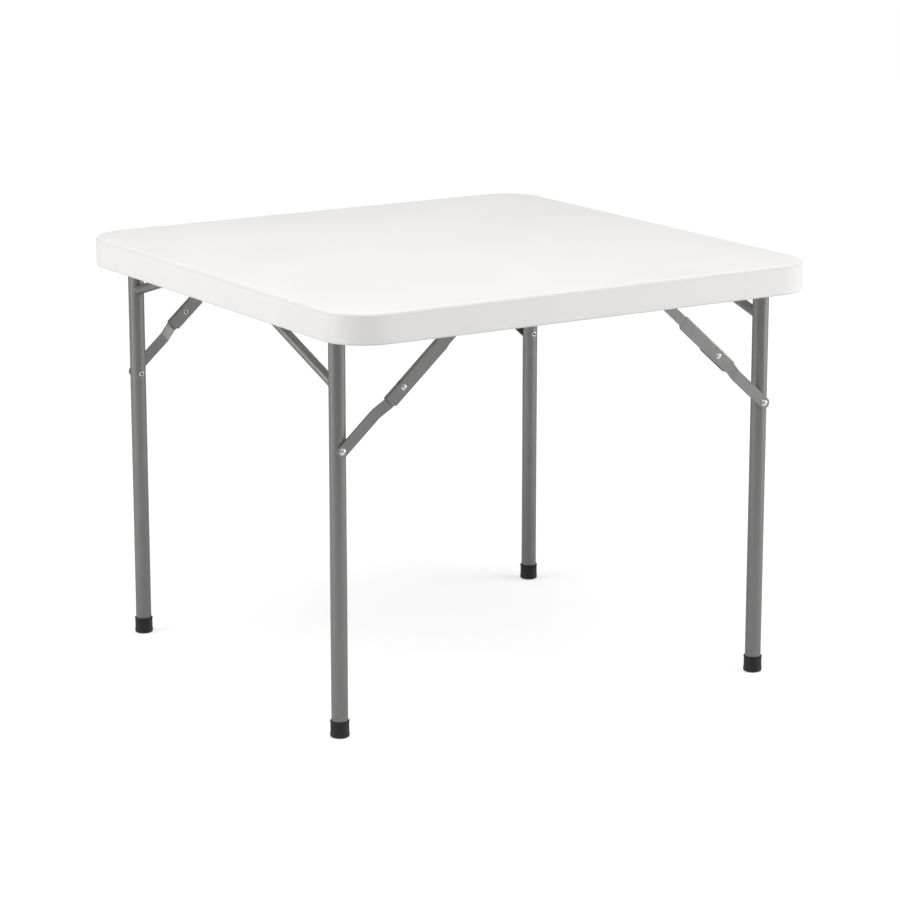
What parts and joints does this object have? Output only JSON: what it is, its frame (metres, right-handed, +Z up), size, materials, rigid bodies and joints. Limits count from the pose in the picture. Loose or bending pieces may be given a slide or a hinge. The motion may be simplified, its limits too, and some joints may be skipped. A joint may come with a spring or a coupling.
{
  "type": "folding card table",
  "caption": "Square folding card table with a hollow moulded white top, round grey steel legs on two folding frames, and jointed braces that lock the legs.",
  "frame": {"origin": "on the floor, under the middle of the top", "axes": "+Z up; +X and +Y along the sides of the top; the leg frames stand at -X and +X and fold towards the middle"},
  "size_m": [0.94, 0.94, 0.737],
  "materials": {
    "white_plastic": "warm white blow-moulded plastic with a fine grain",
    "grey_paint": "mid-grey powder coat, low sheen",
    "black_plastic": "black moulded plastic",
    "bright_zinc": "bright zinc plate",
    "bracket_steel": "mid-grey powder coat on pressed steel"
  },
  "bodies": {
    "tabletop": {"tabletop_shell": "white_plastic", "left_rear_hinge_bracket": "bracket_steel", "left_rear_brace_bracket": "bracket_steel", "left_front_hinge_bracket": "bracket_steel", "left_front_brace_bracket": "bracket_steel", "right_front_hinge_bracket": "bracket_steel", "right_front_brace_bracket": "bracket_steel", "right_rear_hinge_bracket": "bracket_steel", "right_rear_brace_bracket": "bracket_steel", "brace_pivot_rivets": "bright_zinc", "bracket_screws": "bright_zinc"},
    "left_leg_frame": {"left_rear_leg_tube": "grey_paint", "left_rear_foot_cap": "black_plastic", "left_front_leg_tube": "grey_paint", "left_front_foot_cap": "black_plastic", "left_cross_tube": "grey_paint", "left_hinge_rivets": "bright_zinc", "left_leg_rivets": "bright_zinc"},
    "left_rear_upper_brace": {"left_rear_upper_arm": "grey_paint", "left_rear_knee_rivet": "bright_zinc"},
    "left_rear_lower_brace": {"left_rear_lower_arm": "grey_paint", "left_rear_strap_rivet": "bright_zinc"},
    "left_front_upper_brace": {"left_front_upper_arm": "grey_paint", "left_front_knee_rivet": "bright_zinc"},
    "left_front_lower_brace": {"left_front_lower_arm": "grey_paint", "left_front_strap_rivet": "bright_zinc"},
    "right_leg_frame": {"right_front_leg_tube": "grey_paint", "right_front_foot_cap": "black_plastic", "right_rear_leg_tube": "grey_paint", "right_rear_foot_cap": "black_plastic", "right_cross_tube": "grey_paint", "right_hinge_rivets": "bright_zinc", "right_leg_rivets": "bright_zinc"},
    "right_front_upper_brace": {"right_front_upper_arm": "grey_paint", "right_front_knee_rivet": "bright_zinc"},
    "right_front_lower_brace": {"right_front_lower_arm": "grey_paint", "right_front_strap_rivet": "bright_zinc"},
    "right_rear_upper_brace": {"right_rear_upper_arm": "grey_paint", "right_rear_knee_rivet": "bright_zinc"},
    "right_rear_lower_brace": {"right_rear_lower_arm": "grey_paint", "right_rear_strap_rivet": "bright_zinc"}
  },
  "joints": [
    {"name": "left_fold", "type": "hinge", "parent": "tabletop", "child": "left_leg_frame", "pos_m": [-0.4, 0, 0.699], "axis": [0, -1, 0], "range_deg": [0, 90]},
    {"name": "left_rear_brace_pivot", "type": "hinge", "parent": "tabletop", "child": "left_rear_upper_brace", "pos_m": [-0.159, 0.424, 0.699], "axis": [0, -1, 0], "range_deg": [-41.34, 0]},
    {"name": "left_rear_knee", "type": "hinge", "parent": "left_rear_upper_brace", "child": "left_rear_lower_brace", "pos_m": [-0.29039, 0.4184, 0.58342], "axis": [0, -1, 0], "range_deg": [0, 180]},
    {"name": "left_front_brace_pivot", "type": "hinge", "parent": "tabletop", "child": "left_front_upper_brace", "pos_m": [-0.159, -0.349, 0.699], "axis": [0, -1, 0], "range_deg": [-41.34, 0]},
    {"name": "left_front_knee", "type": "hinge", "parent": "left_front_upper_brace", "child": "left_front_lower_brace", "pos_m": [-0.29039, -0.3434, 0.58342], "axis": [0, -1, 0], "range_deg": [0, 180]},
    {"name": "right_fold", "type": "hinge", "parent": "tabletop", "child": "right_leg_frame", "pos_m": [0.4, 0, 0.699], "axis": [0, 1, 0], "range_deg": [0, 90]},
    {"name": "right_front_brace_pivot", "type": "hinge", "parent": "tabletop", "child": "right_front_upper_brace", "pos_m": [0.159, -0.424, 0.699], "axis": [0, 1, 0], "range_deg": [-41.34, 0]},
    {"name": "right_front_knee", "type": "hinge", "parent": "right_front_upper_brace", "child": "right_front_lower_brace", "pos_m": [0.29039, -0.4184, 0.58342], "axis": [0, 1, 0], "range_deg": [0, 180]},
    {"name": "right_rear_brace_pivot", "type": "hinge", "parent": "tabletop", "child": "right_rear_upper_brace", "pos_m": [0.159, 0.349, 0.699], "axis": [0, 1, 0], "range_deg": [-41.34, 0]},
    {"name": "right_rear_knee", "type": "hinge", "parent": "right_rear_upper_brace", "child": "right_rear_lower_brace", "pos_m": [0.29039, 0.3434, 0.58342], "axis": [0, 1, 0], "range_deg": [0, 180]}
  ],
  "couplings": [
    {"joint": "left_rear_brace_pivot", "follows": "left_fold", "ratio": -0.4593},
    {"joint": "left_rear_knee", "follows": "left_fold", "ratio": 2},
    {"joint": "left_front_brace_pivot", "follows": "left_fold", "ratio": -0.4593},
    {"joint": "left_front_knee", "follows": "left_fold", "ratio": 2},
    {"joint": "right_front_brace_pivot", "follows": "right_fold", "ratio": -0.4593},
    {"joint": "right_front_knee", "follows": "right_fold", "ratio": 2},
    {"joint": "right_rear_brace_pivot", "follows": "right_fold", "ratio": -0.4593},
    {"joint": "right_rear_knee", "follows": "right_fold", "ratio": 2}
  ]
}
